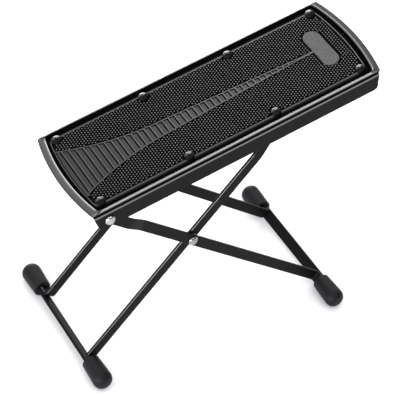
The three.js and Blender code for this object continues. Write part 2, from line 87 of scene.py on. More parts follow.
# The floor is one pale sheet that runs out of sight on every side. It shows white to the camera and
# in gloss, and a painted shade in its colour darkens it softly round the feet, where they hide the sky.
class Term:
    """A socket of a node tree that Python arithmetic works on."""

    def __init__(self, graph, socket):
        self.graph = graph
        self.socket = socket

    def math(self, operation, *others, kind="Math", output=0):
        inputs = dict(enumerate((self, *others)))
        return self.graph.node(kind, {"operation": operation}, inputs, output)

    __add__ = __radd__ = partialmethod(math, "ADD")
    __sub__ = partialmethod(math, "SUBTRACT")
    __mul__ = __rmul__ = partialmethod(math, "MULTIPLY")
    __truediv__ = partialmethod(math, "DIVIDE")
    __abs__ = partialmethod(math, "ABSOLUTE")
    __gt__ = partialmethod(math, "GREATER_THAN")
    __lt__ = partialmethod(math, "LESS_THAN")
    least = partialmethod(math, "MINIMUM")
    most = partialmethod(math, "MAXIMUM")
    # A number from vectors, such as a length.
    measure = partialmethod(math, kind="VectorMath", output="Value")

    def __rsub__(self, other):
        return (self * -1) + other

    def between(self, low, high):
        """0 below the low value and 1 above the high one, with a soft change."""
        soft = {"interpolation_type": "SMOOTHSTEP"}
        return self.graph.node("MapRange", soft, value=self, from_min=low, from_max=high)

    def part(self, axis):
        """One coordinate of a vector."""
        return self.graph.node("SeparateXYZ", inputs={0: self}, output=axis)

    def out(self, name):
        """Another output of the same node."""
        return Term(self.graph, self.socket.node.outputs[name])


class Graph:
    """A node tree that is written as expressions."""

    def __init__(self, tree):
        self.tree = tree

    def node(self, kind, settings=None, inputs=None, output=0, family="ShaderNode", **named):
        """A node, with its inputs given by their numbers or named as on the node."""
        made = self.tree.nodes.new(family + kind)
        for name, value in (settings or {}).items():
            setattr(made, name, value)
        inputs = dict(inputs or {})
        for name, value in named.items():
            inputs[name.replace("_", " ").title().replace("Ior", "IOR")] = value
        for key, value in inputs.items():
            if isinstance(value, Term):
                self.tree.links.new(value.socket, made.inputs[key])
            else:
                made.inputs[key].default_value = value
        return Term(self, made.outputs[output])

    def blend(self, share, low, high):
        """A colour between two colours."""
        return self.node("Mix", {"data_type": "RGBA"}, {0: share, 6: low, 7: high}, 2)


def new_material(name):
    """An empty material, its node tree, and the place on the object."""
    material = bpy.data.materials.new(name)
    material.use_nodes = True
    material.node_tree.nodes.clear()
    graph = Graph(material.node_tree)
    return material, graph, graph.node("TexCoord", output="Object")


def surface(graph, shader, end="ShaderNodeOutputMaterial"):
    """Ends a material or the world in this shader."""
    graph.tree.links.new(shader.socket, graph.tree.nodes.new(end).inputs["Surface"])


FLOOR_REACH = 6
FLOOR_WHITE = (0.9, 0.9, 0.9, 1)
FLOOR_GLOW = 1.6
FLOOR_SHOWN = 0.4
FLOOR_NEAR = 0.4
FLOOR_FAR = 1.2
SHADOW_COLOUR = (0.3, 0.29, 0.33, 1)
SHADOW_REACH = 35 * MM
SHADOW_SIDE = (0.45, 0.35, 0.82)
SHADOW_SAMPLES = 16

floor_mesh = bpy.data.meshes.new("floor")
corners = [(x * FLOOR_REACH, y * FLOOR_REACH, 0) for x, y in ((-1, -1), (1, -1), (1, 1), (-1, 1))]
floor_mesh.from_pydata(corners, [], [(0, 1, 2, 3)])
floor = in_scene("floor", floor_mesh)
floor_paper, graph, ground = new_material("floor_paper")
# Painted shade: the floor's colour turns to the shadow colour where little open sky reaches it, tested over a sky
# that leans towards the side the light comes from.
open_sky = graph.node("AmbientOcclusion", {"samples": SHADOW_SAMPLES}, output="AO",
                      distance=SHADOW_REACH, normal=SHADOW_SIDE)
shade = graph.blend(open_sky, SHADOW_COLOUR, FLOOR_WHITE)
matte = graph.node("BsdfDiffuse", color=shade)
white = graph.node("Emission", color=shade, strength=FLOOR_GLOW)
away = ground.measure("LENGTH").between(FLOOR_NEAR, FLOOR_FAR)
ray = graph.node("LightPath", output="Is Camera Ray")
seen = ray.most(ray.out("Is Glossy Ray")).most(ray.out("Is Transmission Ray"))
shown = seen * (away * (1 - FLOOR_SHOWN) + FLOOR_SHOWN)
surface(graph, graph.node("MixShader", inputs={0: shown, 1: matte, 2: white}))
floor_mesh.materials.append(floor_paper)


# Soft studio light: a wide sheet of four panels high behind, a key at the right, softboxes over the
# rim and the deck, and low ones all round. A pale wall stands behind it all up to a low height, and
# the room above the wall is dim. The camera sees the room white.
LAMPS = [
    ("sheet_1", (-1.075, 1.35, 1.6), (1.25, 1.3), 2.4),
    ("sheet_2", (-0.25, 1.35, 1.6), (0.4, 1.3), 0.7),
    ("sheet_3", (0.35, 1.35, 1.6), (0.8, 1.3), 2.2),
    ("sheet_4", (1.325, 1.35, 1.6), (1.15, 1.3), 1.2),
    ("key_right", (1.7, 0.5, 1.5), (0.7, 0.7), 8.0),
    ("overhead", (0.1, 0.35, 1.9), (1.8, 0.8), 1.1),
    ("over_near_rim", (0.12, -0.56, 1.6), (0.95, 0.4), 6.5),
    ("over_end_rim", (0.45, 1.2, 1.5), (0.5, 0.4), 6.5),
    ("low_left", (-1.35, -0.15, 0.35), (1.0, 0.5), 10.0),
    ("low_behind", (0.6, 1.9, 0.4), (1.3, 0.7), 8.0),
    ("over_corner", (-0.95, 0.1, 1.6), (0.7, 0.9), 5.0),
    ("low_front", (-0.96, -1.1, 0.37), (0.9, 0.4), 14.0),
    ("front", (0.15, -1.1, 1.1), (1.1, 0.4), 2.8),
]
WALL_TOP = 0.12
WALL_LEVEL = 0.8
ROOM_START = 0.3
ROOM_DIM = 0.12

for name, place, (width, height), brightness in LAMPS:
    lamp = bpy.data.lights.new(name, "AREA")
    lamp.shape = "RECTANGLE"
    lamp.size = width
    lamp.size_y = height
    lamp.energy = brightness * math.pi * width * height
    holder = in_scene(name, lamp)
    holder.location = place
    aim = Vector((place[0], 0, AIM.z)) if name.startswith("sheet") else AIM
    holder.rotation_euler = (aim - Vector(place)).to_track_quat("-Z", "Y").to_euler()
    holder.visible_camera = False

room = bpy.data.worlds.new("room")
room.use_nodes = True
room.node_tree.nodes.clear()
graph = Graph(room.node_tree)
above_wall = graph.node("TexCoord", output="Generated").part("Z").between(WALL_TOP, ROOM_START)
studio = (1 - above_wall * (1 - ROOM_DIM)) * WALL_LEVEL
seen = graph.node("LightPath", output="Is Camera Ray")
sky = graph.node("Background", color=(1, 1, 1, 1), strength=studio.most(seen))
surface(graph, sky, "ShaderNodeOutputWorld")
bpy.context.scene.world = room
bpy.context.scene.view_settings.view_transform = "Standard"


# The deck tray is one pressed steel sheet in black powder coat: bowed ends, a raised rim round a
# recess for the mat, and under a rolled groove two long flanges that carry the pivot rivets.
SHEET = 1.5 * MM
END_RISE = 6 * MM
RIM_LIFT = 1.6 * MM
RIM_WIDTH = 2.1 * MM
RIM_FACET = 1.15 * MM
RIM_FACET_TILT = 30
RIM_OUTER_ROUND = 0.8 * MM
RIM_INNER_ROUND = 0.5 * MM
CREST_DROP = 0.03 * MM
END_CREST = 6.1 * MM
RECESS_DEPTH = 2.4 * MM
RECESS_CORNER = 4.5 * MM
WALL_RUN = 0.95 * MM
WALL_LEAN = 22
DECK_CORNER = 1 * MM
EDGE_ROUND = 0.4 * MM
GROOVE_LOW = -3.55 * MM
GROOVE_HIGH = -0.05 * MM
GROOVE_EDGE = 0.2 * MM
FLANGE_TOP = 3.6 * MM
FLANGE_END = 0.4 * MM
FLANGE_ROUND = 0.7 * MM
FLANGE_TAPER = 1.4 * MM
FLANGE_CORNER = 5 * MM
BOW_STEPS = 56
CORNER_STEPS = 10
# The tray's section has seven points up the groove, and six more over which the corners widen.
GROOVE_RINGS = 7
CORNER_RINGS = 6
FACES_UP = -0.2
PAINT_COLOUR = (0.0042, 0.0044, 0.005, 1)
PAINT_ROUGHNESS = 0.42
PAINT_GLOSS = 0.06
PAINT_GRAIN = 1500
PAINT_DRIFT = 24
PEEL_STRENGTH = 0.1
PEEL_DEPTH = 0.05 * MM
COAT_IOR = 1.8
COAT_ROUGHNESS = 0.14
# Painted shade: the recess and the groove under the rim are a darker, duller copy of the coat.
RECESS_SHADE_COLOUR = (0.0008, 0.0008, 0.001, 1)
RECESS_SHADE_ROUGHNESS = 0.6
RECESS_SHADE_GLOSS = 0.01
# Where the coat lies thick, as distances from the shoulder and from the sides, and as heights.
SHOULDER_LEVEL = -3.95 * MM
SHOULDER_GLOSS = (0.45 * MM, 0.7 * MM)
SIDE_GLOSS = (2.4 * MM, 2 * MM)
CREST_GLOSS = (1.3 * MM, 1.5 * MM)
RIM_GLOSS = (-0.2 * MM, 0.8 * MM)
END_GLOSS = 0.5

joints = {joint["name"]: joint for joint in frame["joints"]}
mounts = {mount["name"]: mount for mount in frame["record"]["mounts"]}
deck_pivot = Vector(joints["deck_pivot"]["pos_m"])
tread_normal = Vector(mounts["tread_face"]["axis"])
deck_tilt = math.atan2(-tread_normal.x, tread_normal.z)
pivot_frame = Matrix.Translation(deck_pivot) @ Matrix.Rotation(-deck_tilt, 4, "Y")


def extent(node, local):
    """Lowest and highest corner of a CAD node in a turned frame."""
    back_to_local = local.inverted()
    points = [back_to_local @ vertex.co for vertex in frame["nodes"][node].data.vertices]
    low = Vector(min(point[axis] for point in points) for axis in range(3))
    high = Vector(max(point[axis] for point in points) for axis in range(3))
    return low, high


tray_low, tray_high = extent("deck_tray", pivot_frame)
deck_length = tray_high.x - tray_low.x - 2 * END_RISE
deck_half = tray_high.y
# In the deck's frame x runs from the low end's corner line and z from the level of the bowed edges.
deck_frame = pivot_frame @ Matrix.Translation((tray_low.x + END_RISE, 0, tray_high.z - RIM_LIFT))
flange_depth = tray_high.z - RIM_LIFT - tray_low.z


def angles(start, end, steps):
    """Even steps between two angles in degrees, both included, in radians."""
    return [math.radians(start + (end - start) * step / steps) for step in range(steps + 1)]


def arc(centre_x, centre_y, radius, start, end, steps):
    """Points of an arc between two angles in degrees, both ends included."""
    return [(centre_x + radius * math.cos(a), centre_y + radius * math.sin(a))
            for a in angles(start, end, steps)]


def curve(a, b, c, steps):
    """Points of a quadratic curve from a to c that leans towards b."""
    shares = [step / steps for step in range(steps + 1)]
    return [a * (1 - t) ** 2 + b * 2 * t * (1 - t) + c * t ** 2 for t in shares]


def in_mm(*pairs):
    return [(a * MM, b * MM) for a, b in pairs]


def bowed_ring(plan, side, end):
    """An outline with straight long sides and bowed ends, at (inset, height) pairs for sides and ends."""
    start, finish, half, rise, corner = plan
    bow = (half ** 2 + rise ** 2) / (2 * rise)
    radius = bow - end[0]
    sweep = math.asin((half - side[0]) / radius)
    turn = sweep - corner / radius
    points = []
    for centre, facing in ((finish + rise - bow, 0), (start - rise + bow, math.pi)):
        def at(angle):
            return Vector((centre + radius * math.cos(facing + angle), radius * math.sin(facing + angle)))
        lead_in = Vector((-math.cos(facing) * corner, 0))
        lead = curve(at(-sweep) + lead_in, at(-sweep), at(-turn), CORNER_STEPS)
        bowed = [at(turn * (2 * step / BOW_STEPS - 1)) for step in range(1, BOW_STEPS)]
        trail = curve(at(turn), at(sweep), at(sweep) + lead_in, CORNER_STEPS)
        fades = [step / CORNER_STEPS for step in range(CORNER_STEPS + 1)]
        shares = fades + [1] * len(bowed) + fades[::-1]
        for point, share in zip(lead + bowed + trail, shares):
            points.append((point.x, point.y, side[1] + (end[1] - side[1]) * share))
    return points


def loft(rings):
    """Vertices and faces of a closed skin through rings of equal counts."""
    count = len(rings[0])
    vertices = [point for ring in rings for point in ring]
    faces = [tuple(reversed(range(count)))]
    for ring in range(len(rings) - 1):
        for i in range(count):
            a, b = ring * count + i, ring * count + (i + 1) % count
            faces.append((a, b, b + count, a + count))
    faces.append(tuple(range((len(rings) - 1) * count, len(rings) * count)))
    return vertices, faces


SMOOTH_BELOW = math.radians(35)
WELD = 0.0001 * MM


def finished(bm, local=None):
    """A smooth-shaded mesh with its creases sharp and its faces pointing out, put in a turned frame."""
    bmesh.ops.remove_doubles(bm, verts=bm.verts, dist=WELD)
    bmesh.ops.recalc_face_normals(bm, faces=bm.faces)
    for face in bm.faces:
        face.smooth = True
    for edge in bm.edges:
        edge.smooth = edge.calc_face_angle(0) < SMOOTH_BELOW
    mesh = bpy.data.meshes.new("mesh")
    bm.to_mesh(mesh)
    bm.free()
    if local:
        mesh.transform(local)
    return mesh


def mesh_of(shape, local=None):
    """A mesh of vertices and faces."""
    vertices, faces = shape
    bm = bmesh.new()
    made = [bm.verts.new(vertex) for vertex in vertices]
    for face in faces:
        bm.faces.new([made[i] for i in face])
    return finished(bm, local)


def merged(meshes):
    """Several meshes as one."""
    bm = bmesh.new()
    for mesh in meshes:
        bm.from_mesh(mesh)
    return finished(bm)


def piece(name, mesh, material, body, slot, *nodes):
    """A finished piece that stands for these CAD nodes on its body."""
    made = in_scene(name, mesh)
    mesh.name = name
    mesh.materials.clear()
    mesh.materials.append(material)
    even = made.modifiers.new("even_shading", "WEIGHTED_NORMAL")
    even.keep_sharp = True
    if nodes:
        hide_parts(*nodes)
    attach(made, body)
    return made


def plate(outline, thickness, edge_round, rounds):
    """A flat plate with rounded rims: its outline in x and y, its thickness centred on z = 0."""
    bm = bmesh.new()
    bottom = bm.faces.new([bm.verts.new((x, y, -thickness / 2)) for x, y in outline])
    raised = bmesh.ops.extrude_face_region(bm, geom=[bottom])["geom"]
    bmesh.ops.translate(
        bm, verts=[v for v in raised if isinstance(v, bmesh.types.BMVert)], vec=(0, 0, thickness))
    rims = [edge for edge in bm.edges if abs(edge.verts[0].co.z - edge.verts[1].co.z) < thickness / 2]
    bmesh.ops.bevel(bm, geom=rims, offset=edge_round, segments=rounds, profile=0.5, affect="EDGES",
                    clamp_overlap=True)
    return bm


def placed(bm, place):
    """Moves every point of a body by a function of its position."""
    for vertex in bm.verts:
        vertex.co = place(vertex.co)
    return bm


def noise(place, scale, detail):
    return place.graph.node("TexNoise", vector=place, scale=scale, detail=detail)


def bump(height, strength, depth):
    return height.graph.node("Bump", height=height, strength=strength, distance=depth)


def height_above(place, point, normal):
    """Height above the plane through a point, for materials."""
    return place.measure("DOT_PRODUCT", normal) - point.dot(normal)


def deck_height(place):
    """Height above the plane of the deck's edges, for materials."""
    return height_above(place, deck_frame.translation, tread_normal)


def powder_coat(name, colour, roughness, gloss=PAINT_GLOSS, grain=PAINT_GRAIN, thick=None):
    """Powder coat with a fine even orange peel, and glossy where the thick mask says that it lies thick."""
    material, graph, place = new_material(name)
    peel = noise(place, grain, 2)
    uneven = noise(place, PAINT_DRIFT, 3) * 0.1 + peel * 0.06 + (roughness - 0.08)
    build_up = {}
    if thick:
        build_up = {"coat_weight": thick(place), "coat_ior": COAT_IOR, "coat_roughness": COAT_ROUGHNESS}
    surface(graph, graph.node("BsdfPrincipled", base_color=colour, roughness=uneven, specular_ior_level=gloss,
                              normal=bump(peel, PEEL_STRENGTH, PEEL_DEPTH), **build_up))
    return material


def rim_gloss(place):
    """The coat lies thick on the shoulder and along the sides of the rim, less on the end bands."""
    height = deck_height(place)
    shoulder = 1 - abs(height - SHOULDER_LEVEL).between(*SHOULDER_GLOSS)
    beside = abs(place.part("Y")).between(*(deck_half - inset for inset in SIDE_GLOSS))
    crest = height.between(*CREST_GLOSS).most(beside)
    return (height.between(*RIM_GLOSS) * (crest * (1 - END_GLOSS) + END_GLOSS)).most(shoulder)


deck_paint = powder_coat("deck_paint", PAINT_COLOUR, PAINT_ROUGHNESS, thick=rim_gloss)
black_paint = powder_coat("black_paint", PAINT_COLOUR, PAINT_ROUGHNESS)
painted_recess_shade = powder_coat("painted_recess_shade", RECESS_SHADE_COLOUR, RECESS_SHADE_ROUGHNESS, RECESS_SHADE_GLOSS)


def rim_profiles():
    """(inset, height) pairs of the tray's section on a long side and at an end, of equal counts."""
    floor_level = RIM_LIFT - RECESS_DEPTH
    # The rim's facet leans outwards between a tight outer bend and the round top of the crest.
    lean = math.radians(RIM_FACET_TILT)
    facet_start = RIM_OUTER_ROUND * (1 - math.sin(lean))
    facet_end = facet_start + RIM_FACET * math.cos(lean)
    top = RIM_LIFT - RIM_INNER_ROUND - CREST_DROP
    crest = facet_end + RIM_INNER_ROUND * math.sin(lean)
    facet_top = top + RIM_INNER_ROUND * math.cos(lean)
    facet_drop = RIM_FACET * math.sin(lean)
    bend = facet_top - facet_drop - RIM_OUTER_ROUND * math.cos(lean)

    def foot(place):
        return arc(place + WALL_RUN, floor_level + EDGE_ROUND, EDGE_ROUND, 180 + WALL_LEAN, 270, 4)

    side = in_mm((1.2, -5), (1.3, -3), (1.45, -1.7), (1.25, -0.85), (0.8, -0.4), (0.35, -0.22), (0.08, 0.05))
    side += arc(RIM_OUTER_ROUND, bend, RIM_OUTER_ROUND, 180, 90 + RIM_FACET_TILT, 4)
    side.append(((facet_start + facet_end) / 2, facet_top - facet_drop / 2))
    side += arc(crest, top, RIM_INNER_ROUND, 90 + RIM_FACET_TILT, WALL_LEAN, 5)
    side += foot(crest + RIM_INNER_ROUND)

    end = in_mm((0.8, -1.5), (0.4, -1.5), (0.15, -1.3), (0.03, -0.95), (0.03, -0.5), (0.03, 0), (0.1, 0.25),
                (0.3, 0.38), (1.2, 0.63), (2.2, 0.9), (3.2, 1.18), (4.1, 1.43), (4.4, 1.5), (4.6, 1.54),
                (4.85, 1.54), (5.3, 1.48), (5.8, 1.41), (6, 1.3), (6.1, 1.1))
    return side, end + foot(END_CREST)


def tray_skin():
    """The pressed sheet, from its underside round the rolled edge and the rim to the recess."""
    side, end = rim_profiles()
    under_side = in_mm((4.6, -2.3), (3.2, -2.1), (2.7, -0.2), (2.6, -1.2), (2.5, -5))
    under_end = in_mm((8.8, -2.3), (7.4, -2.1), (5.4, 0), (3.4, -0.45), (1.6, -1.2))
    # The corners are those of the outer edge at a share of 0 and of the recess at 1.
    shares = [1, 1, 0, 0, 0]
    shares += [min(max((i - GROOVE_RINGS) / CORNER_RINGS, 0), 1) for i in range(len(side))]
    rings = []
    for share, *pair in zip(shares, under_side + side, under_end + end):
        corner = DECK_CORNER + (RECESS_CORNER - DECK_CORNER) * share
        rings.append(bowed_ring((0, deck_length, deck_half, END_RISE, corner), *pair))
    return loft(rings)


def flange(outward):
    """One flange plate, upright under a long side of the deck, with tapered ends and round lower corners."""
    foot = DECK_CORNER + FLANGE_TAPER
    low = Vector((foot, FLANGE_CORNER - flange_depth))
    middle = Vector((foot, -flange_depth))
    corner = curve(low, middle, Vector((foot + FLANGE_CORNER, -flange_depth)), CORNER_STEPS)
    left = [(FLANGE_END, -FLANGE_TOP)] + [tuple(point) for point in corner]
    outline = left + [(deck_length - x, z) for x, z in reversed(left)]
    bm = plate(outline, SHEET, FLANGE_ROUND, 1)
    middle = deck_half - SHEET / 2
    return finished(placed(bm, lambda p: Vector((p.x, outward * (middle + p.z), p.y))), deck_frame)


tray_mesh = merged([mesh_of(tray_skin(), deck_frame), flange(1), flange(-1)])
tray = piece("deck_tray_sheet", tray_mesh, deck_paint, "deck", "black_paint", "deck_tray")
# The faces of the recess and of the groove under the rim take the painted shade.
tray.data.materials.append(painted_recess_shade)
to_deck = deck_frame.inverted()
bow = (deck_half ** 2 + END_RISE ** 2) / (2 * END_RISE)
bow_centres = (END_RISE - bow + deck_length, bow - END_RISE)
for face in tray.data.polygons:
    spot = to_deck @ face.center
    from_end = min(bow - math.hypot(spot.x - middle, spot.y) for middle in bow_centres)
    from_side = deck_half - abs(spot.y)
    recess = from_end > END_CREST and from_side > RIM_WIDTH and face.normal.dot(tread_normal) > FACES_UP
    groove = GROOVE_LOW < spot.z < GROOVE_HIGH and GROOVE_EDGE < from_side < RIM_WIDTH
    if recess or groove:
        face.material_index = 1


# The notched racks are two strips of the same sheet under the tray, bent to an L and welded on by
# their feet. The cross rod lies in one pair of their notches and so sets the height.
RACK_END = 7 * MM
RACK_WEB_ROUND = 2 * MM
RACK_EDGE_ROUND = 0.24 * MM
NOTCH_COUNT = 6
NOTCH_PITCH = 12 * MM
NOTCH_RADIUS = 3.3 * MM
NOTCH_DEPTH = 3.2 * MM
BEND_STEPS = 6
SIDES = (("front", -1), ("rear", 1))


def rack(node, outward):
    """One rack, cut flat with its notches and then bent along its length."""
    low, high = extent(node, deck_frame)
    length = high.x - low.x
    radius = SHEET / 2
    bend_run = math.pi / 2 * radius
    flat_web = high.z - low.z - SHEET - radius
    notch_middle = NOTCH_DEPTH - NOTCH_RADIUS
    lean = math.degrees(math.asin(-notch_middle / NOTCH_RADIUS))
    outline = [(0, RACK_WEB_ROUND), (RACK_WEB_ROUND, 0)]
    for i in range(NOTCH_COUNT):
        outline += arc(RACK_END + i * NOTCH_PITCH, notch_middle, NOTCH_RADIUS, 180 - lean, lean, 10)
    foot = flat_web + high.y - low.y - SHEET
    outline += [(length - RACK_WEB_ROUND, 0), (length, RACK_WEB_ROUND), (length, foot), (0, foot)]
    bm = plate(outline, SHEET, RACK_EDGE_ROUND, 2)
    for step in range(BEND_STEPS + 1):
        cut = Vector((0, flat_web + bend_run * step / BEND_STEPS, 0))
        bmesh.ops.bisect_plane(bm, geom=bm.verts[:] + bm.edges[:] + bm.faces[:], plane_co=cut,
                               plane_no=Vector((0, 1, 0)))
    middle = max(abs(low.y), abs(high.y)) - radius

    def bent(p):
        past = p.y - flat_web
        turn = min(max(past / radius, 0), math.pi / 2)
        run = max(past - bend_run, 0)
        across = middle - radius * (1 - math.cos(turn)) - run + p.z * math.cos(turn)
        height = low.z + min(p.y, flat_web) + radius * math.sin(turn) + p.z * math.sin(turn)
        return Vector((low.x + p.x, outward * across, height))
    return finished(placed(bm, bent), deck_frame)


for side, outward in SIDES:
    node = f"notch_rack_{side}"
    piece(f"{node}_strip", rack(node, outward), black_paint, "deck", "black_paint", node)


# The tread mat is one moulded rubber sheet, riveted down in the recess. A raised border line runs
# round a field of small flat-topped studs and a tapering ladder of pads between rungs and two rails,
# with a deep slot beside each pad.
MAT_CORNER = 4.2 * MM
MAT_LOW_END = 5.6 * MM
MAT_HIGH_END = 6.8 * MM
MAT_END_RISE = 3.9 * MM
MAT_EDGE = 0.3 * MM
MAT_LIP = 0.2 * MM
# How far the border reaches in from the mat's sides and from its ends.
BORDER_FIELD = (3.9 * MM, 3 * MM)
PAD_LEVEL = 0.75 * MM
RUNG_LEVEL = 1.2 * MM
FIELD_LEVEL = -0.15 * MM
SLOT_LEVEL = -0.4 * MM
SLOT_WIDTH = 1.05 * MM
TREAD_START = 9.8 * MM
TREAD_FLARE = 71.4 * MM
TREAD_START_HALF = 24.5 * MM
TREAD_WAIST_HALF = 7 * MM
TREAD_TAIL = 10 * MM
TREAD_PITCH = 5.35 * MM
RUNG_WIDTH = 1.15 * MM
RAIL_WIDTH = 0.9 * MM
RAIL_ROUND = 0.24 * MM
RAIL_STEPS = 64
BAR_EDGE_ROUND = 0.3 * MM
BAR_STEPS = 9
INSIDE_RAIL = 0.54 * MM
STUD_ROW_PITCH = 2.215 * MM
STUD_PITCH = 2.56 * MM
STUD_TOP_RADIUS = 0.5 * MM
STUD_FOOT_RADIUS = 0.68 * MM
STUD_TOP = 1.2 * MM
STUD_ROOT = 0.05 * MM
STUD_SIDES = 8
STUD_MARGIN = 0.3 * MM
RUBBER_COLOUR = (0.012, 0.012, 0.013, 1)
LADDER_COLOUR = (0.009, 0.009, 0.01, 1)
# Painted shade: the valleys between the raised parts, and the mat's sheet, are a near-black, matt copy of the
# rubber.
VALLEY_SHADE_COLOUR = (0.0014, 0.0014, 0.0016, 1)
VALLEY_SHADE_ROUGHNESS = 0.75
VALLEY_SHADE_GLOSS = 0.02
# Painted sheen: lighter colours that the tops of the border, the ladder and the studs are blended to.
SHEEN_COLOUR = (0.06, 0.06, 0.062, 1)
BORDER_SHEEN_COLOUR = (0.028, 0.028, 0.029, 1)
STUD_SHEEN_COLOUR = (0.1, 0.1, 0.103, 1)
CAST_GRAIN = 2600
CAST_DEPTH = 0.05 * MM
WEAR_PATCHES = 40
# The ladder keeps less and less of its painted sheen and grows rougher from the second of these places along x
# down to the first.
DULL_END = (-160 * MM, 30 * MM)
DULL_ROUGHNESS = 0.32
LEAST_SHEEN = 0.4
# Heights over which the painted shade of the valleys fades out, and those over which the painted sheen comes in.
BORDER_SHADE_FADE, BORDER_SHEEN_RISE = in_mm((-0.05, 0.6), (0.42, 0.52))
LADDER_SHADE_FADE, LADDER_SHEEN_RISE = in_mm((0.3, 0.5), (0.85, 0.97))
STUD_SHADE_FADE, STUD_SHEEN_RISE = in_mm((0.75, 0.95), (1.05, 1.17))

mat_low, mat_high = extent("tread_mat", deck_frame)
mat_plan = (MAT_LOW_END, deck_length - MAT_HIGH_END, mat_high.y, MAT_END_RISE, MAT_CORNER)
mat_bow = MAT_END_RISE / mat_high.y ** 2
badge_low, badge_high = extent("badge_plate", deck_frame)
badge_middle = (badge_low.x + badge_high.x) / 2
badge_radius = (badge_high.x - badge_low.x) / 2
badge_straight = badge_high.y - badge_radius
field_start = MAT_LOW_END - MAT_END_RISE + BORDER_FIELD[1]
field_end = deck_length - MAT_HIGH_END + MAT_END_RISE - BORDER_FIELD[1]
tread_end = badge_low.x - TREAD_TAIL


def rubber(name, colour, roughness, gloss, cast=0.25, shade_fade=None, sheen_rise=None, sheen_colour=SHEEN_COLOUR, sheen_share=1):
    """Moulded rubber with a fine cast grain, with a painted shade in its valleys and a painted sheen on its tops.
    """
    material, graph, place = new_material(name)
    grain = noise(place, CAST_GRAIN, 3)
    uneven = noise(place, WEAR_PATCHES, 4) * 0.12 + grain * 0.08 + (roughness - 0.1)
    if callable(sheen_share):
        sheen_share = sheen_share(place)
        uneven = uneven + (1 - sheen_share) * DULL_ROUGHNESS
    # Above the rising heights the rubber is blended to the painted sheen, less where the ladder keeps less of it.
    if sheen_rise:
        top = deck_height(place).between(*sheen_rise) * (sheen_share * (1 - LEAST_SHEEN) + LEAST_SHEEN)
        colour = graph.blend(top, colour, sheen_colour)
        uneven = uneven - top * 0.08
    face = graph.node("BsdfPrincipled", base_color=colour, roughness=uneven, specular_ior_level=gloss,
                      normal=bump(grain, cast, CAST_DEPTH))
    # Below the fading heights the rubber turns into the painted shade.
    if shade_fade:
        deep = graph.node("BsdfPrincipled", base_color=VALLEY_SHADE_COLOUR, specular_ior_level=VALLEY_SHADE_GLOSS,
                          roughness=grain * 0.1 + VALLEY_SHADE_ROUGHNESS)
        raised = deck_height(place).between(*shade_fade)
        face = graph.node("MixShader", inputs={0: raised, 1: deep, 2: face})
    surface(graph, face)
    return material


def ladder_sheen(place):
    """How much of its painted sheen and its smoothness the ladder keeps: all at the high end, least at the low
    one.
    """
    return place.part("X").between(*DULL_END)


# The mat's sheet between the studs and in the ladder's slots is all in the painted valley shade.
mat_rubber = rubber("mat_rubber", VALLEY_SHADE_COLOUR, 0.8, 0.05)
border_rubber = rubber("border_rubber", RUBBER_COLOUR, 0.38, 0.5, shade_fade=BORDER_SHADE_FADE, sheen_rise=BORDER_SHEEN_RISE,
                       sheen_colour=BORDER_SHEEN_COLOUR)
ladder_rubber = rubber("ladder_rubber", LADDER_COLOUR, 0.45, 0.45, shade_fade=LADDER_SHADE_FADE, sheen_rise=LADDER_SHEEN_RISE,
                       sheen_share=ladder_sheen)
stud_rubber = rubber("stud_rubber", RUBBER_COLOUR, 0.45, 0.45, shade_fade=STUD_SHADE_FADE, sheen_rise=STUD_SHEEN_RISE,
                     sheen_colour=STUD_SHEEN_COLOUR)


def window_half(x):
    """Half the width of the ladder's windows along the deck, for numbers and for Terms."""
    flare_end = TREAD_START + TREAD_FLARE
    taper = TREAD_WAIST_HALF / (tread_end - flare_end)
    flare_half = TREAD_START_HALF - (tread_end - TREAD_START) * taper
    ahead, left = ((end - x).most(0) if isinstance(x, Term) else max(end - x, 0)
                   for end in (flare_end, tread_end))
    return left * taper + ahead * ahead * (flare_half / TREAD_FLARE ** 2)


rail_length = tread_end - field_start
rail_stations = [field_start + rail_length * step / RAIL_STEPS for step in range(RAIL_STEPS + 1)]


def mat_rings(bm, side, end):
    """Rings of vertices round the mat at (inset, height) pairs for its sides and ends."""
    rings = [bowed_ring(mat_plan, *pair) for pair in zip(side, end)]
    return [[bm.verts.new(point) for point in ring] for ring in rings]


def strips(bm, rings):
    """Joins rings of equal counts with quads."""
    for lower, upper in zip(rings, rings[1:]):
        for i, vertex in enumerate(lower):
            after = (i + 1) % len(lower)
            bm.faces.new((vertex, lower[after], upper[after], upper[i]))


def mat_skin():
    """The thin sheet of the field, with the ladder's sunk floor."""
    low = mat_low.z
    side, end = ([(MAT_EDGE, low), (MAT_EDGE, low + MAT_LIP), (inset, FIELD_LEVEL)]
                 for inset in BORDER_FIELD)
    bm = bmesh.new()
    rings = mat_rings(bm, side, end)
    bm.faces.new(rings[0][::-1])
    strips(bm, rings)
    inner = field_start + EDGE_ROUND
    line = [(max(x, inner), window_half(max(x, inner)) + RAIL_WIDTH / 2) for x in rail_stations[1:]]
    outline = line + [(x, -y) for x, y in reversed(line)]
    brink = [bm.verts.new((x, y, FIELD_LEVEL)) for x, y in outline]
    sunk = [bm.verts.new((x, y, SLOT_LEVEL)) for x, y in outline]
    loops = [(ring[i - 1], ring[i]) for ring in (rings[-1], brink) for i in range(len(ring))]
    edges = [bm.edges.get(pair) or bm.edges.new(pair) for pair in loops]
    bmesh.ops.triangle_fill(bm, use_beauty=True, use_dissolve=False, edges=edges)
    strips(bm, [brink, sunk])
    bm.faces.new(sunk)
    return finished(bm, deck_frame)


